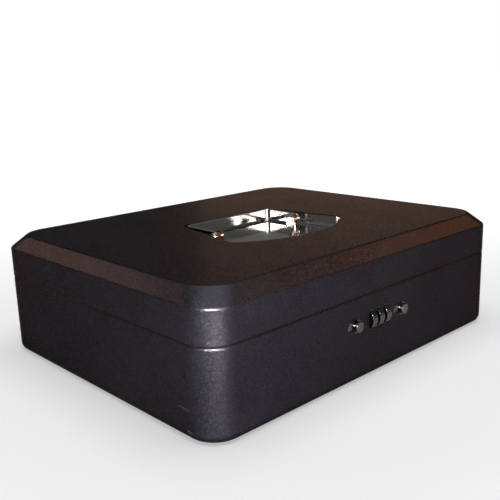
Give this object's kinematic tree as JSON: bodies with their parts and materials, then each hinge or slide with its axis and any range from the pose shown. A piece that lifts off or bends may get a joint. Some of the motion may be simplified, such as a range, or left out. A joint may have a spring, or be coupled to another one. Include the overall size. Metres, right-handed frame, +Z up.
{
  "type": "cash box",
  "caption": "Portable steel cash box with a chamfered hinged lid, recessed bail handle, combination dials with slide knobs, and a lift-out coin tray.",
  "frame": {"origin": "centre of the underside, on the surface that the box stands on", "axes": "+X along the lock side to its right, +Y from the lock side to the hinges, +Z up"},
  "size_m": [0.3, 0.2461, 0.0904],
  "materials": {
    "powder_coated_steel": "fine-grained charcoal powder coat, half gloss",
    "nickel_plated_steel": "bright nickel plate on pressed steel",
    "copper_plated_steel": "bright copper plate",
    "zinc_plated_steel": "dull zinc plate",
    "spring_steel": "rolled spring steel",
    "turned_brass": "turned",
    "chromed_zinc": "bright chrome on die-cast zinc",
    "moulded_abs": "moulded, fine spark-eroded texture"
  },
  "bodies": {
    "base": {"base_shell": "powder_coated_steel", "tray_rail_left": "powder_coated_steel", "tray_rail_right": "powder_coated_steel", "base_hinge_leaf_left": "zinc_plated_steel", "base_hinge_leaf_right": "zinc_plated_steel", "base_hinge_rivets": "zinc_plated_steel", "lock_housing": "zinc_plated_steel", "housing_studs": "zinc_plated_steel", "housing_nuts": "zinc_plated_steel", "dial_bracket": "zinc_plated_steel", "lock_rivets": "zinc_plated_steel", "shaft_clips": "zinc_plated_steel", "hinge_pin_left": "spring_steel", "hinge_pin_right": "spring_steel", "dial_shaft": "spring_steel", "detent_spring": "spring_steel", "shaft_spacer": "turned_brass"},
    "lid": {"lid_shell": "powder_coated_steel", "handle_dish": "nickel_plated_steel", "pivot_lug_left": "nickel_plated_steel", "pivot_lug_right": "nickel_plated_steel", "pivot_rivet_left": "nickel_plated_steel", "pivot_rivet_right": "nickel_plated_steel", "pivot_sleeve_left": "copper_plated_steel", "pivot_sleeve_right": "copper_plated_steel", "lid_hinge_leaf_left": "zinc_plated_steel", "lid_hinge_leaf_right": "zinc_plated_steel", "lid_hinge_rivets": "zinc_plated_steel", "lid_strike": "zinc_plated_steel"},
    "bail": {"bail_handle": "nickel_plated_steel"},
    "dial_1_wheel": {"dial_1": "chromed_zinc", "code_sleeve_1": "turned_brass"},
    "dial_2_wheel": {"dial_2": "chromed_zinc", "code_sleeve_2": "turned_brass"},
    "dial_3_wheel": {"dial_3": "chromed_zinc", "code_sleeve_3": "turned_brass"},
    "slide": {"latch_slide": "zinc_plated_steel", "slide_knob_left": "chromed_zinc", "slide_knob_right": "chromed_zinc"},
    "lever": {"code_change_lever": "zinc_plated_steel"},
    "tray": {"coin_tray": "moulded_abs"}
  },
  "joints": [
    {"name": "lid_hinge", "type": "hinge", "parent": "base", "child": "lid", "pos_m": [0, 0.1203, 0.0591], "axis": [-1, 0, 0], "range_deg": [0, 100]},
    {"name": "bail_swing", "type": "hinge", "parent": "lid", "child": "bail", "pos_m": [0, -0.004, 0.0862], "axis": [1, 0, 0], "range_deg": [0, 90]},
    {"name": "dial_1_turn", "type": "hinge", "parent": "base", "child": "dial_1_wheel", "pos_m": [-0.0077, -0.115, 0.04], "axis": [1, 0, 0], "continuous": true},
    {"name": "dial_2_turn", "type": "hinge", "parent": "base", "child": "dial_2_wheel", "pos_m": [0, -0.115, 0.04], "axis": [1, 0, 0], "continuous": true},
    {"name": "dial_3_turn", "type": "hinge", "parent": "base", "child": "dial_3_wheel", "pos_m": [0.0077, -0.115, 0.04], "axis": [1, 0, 0], "continuous": true},
    {"name": "latch_travel", "type": "slide", "parent": "base", "child": "slide", "axis": [-1, 0, 0], "range_m": [0, 0.0065]},
    {"name": "code_lever_travel", "type": "slide", "parent": "base", "child": "lever", "axis": [1, 0, 0], "range_m": [0, 0.004]},
    {"name": "tray_lift", "type": "slide", "parent": "base", "child": "tray", "axis": [0, 0, 1], "range_m": [0, 0.018]}
  ]
}
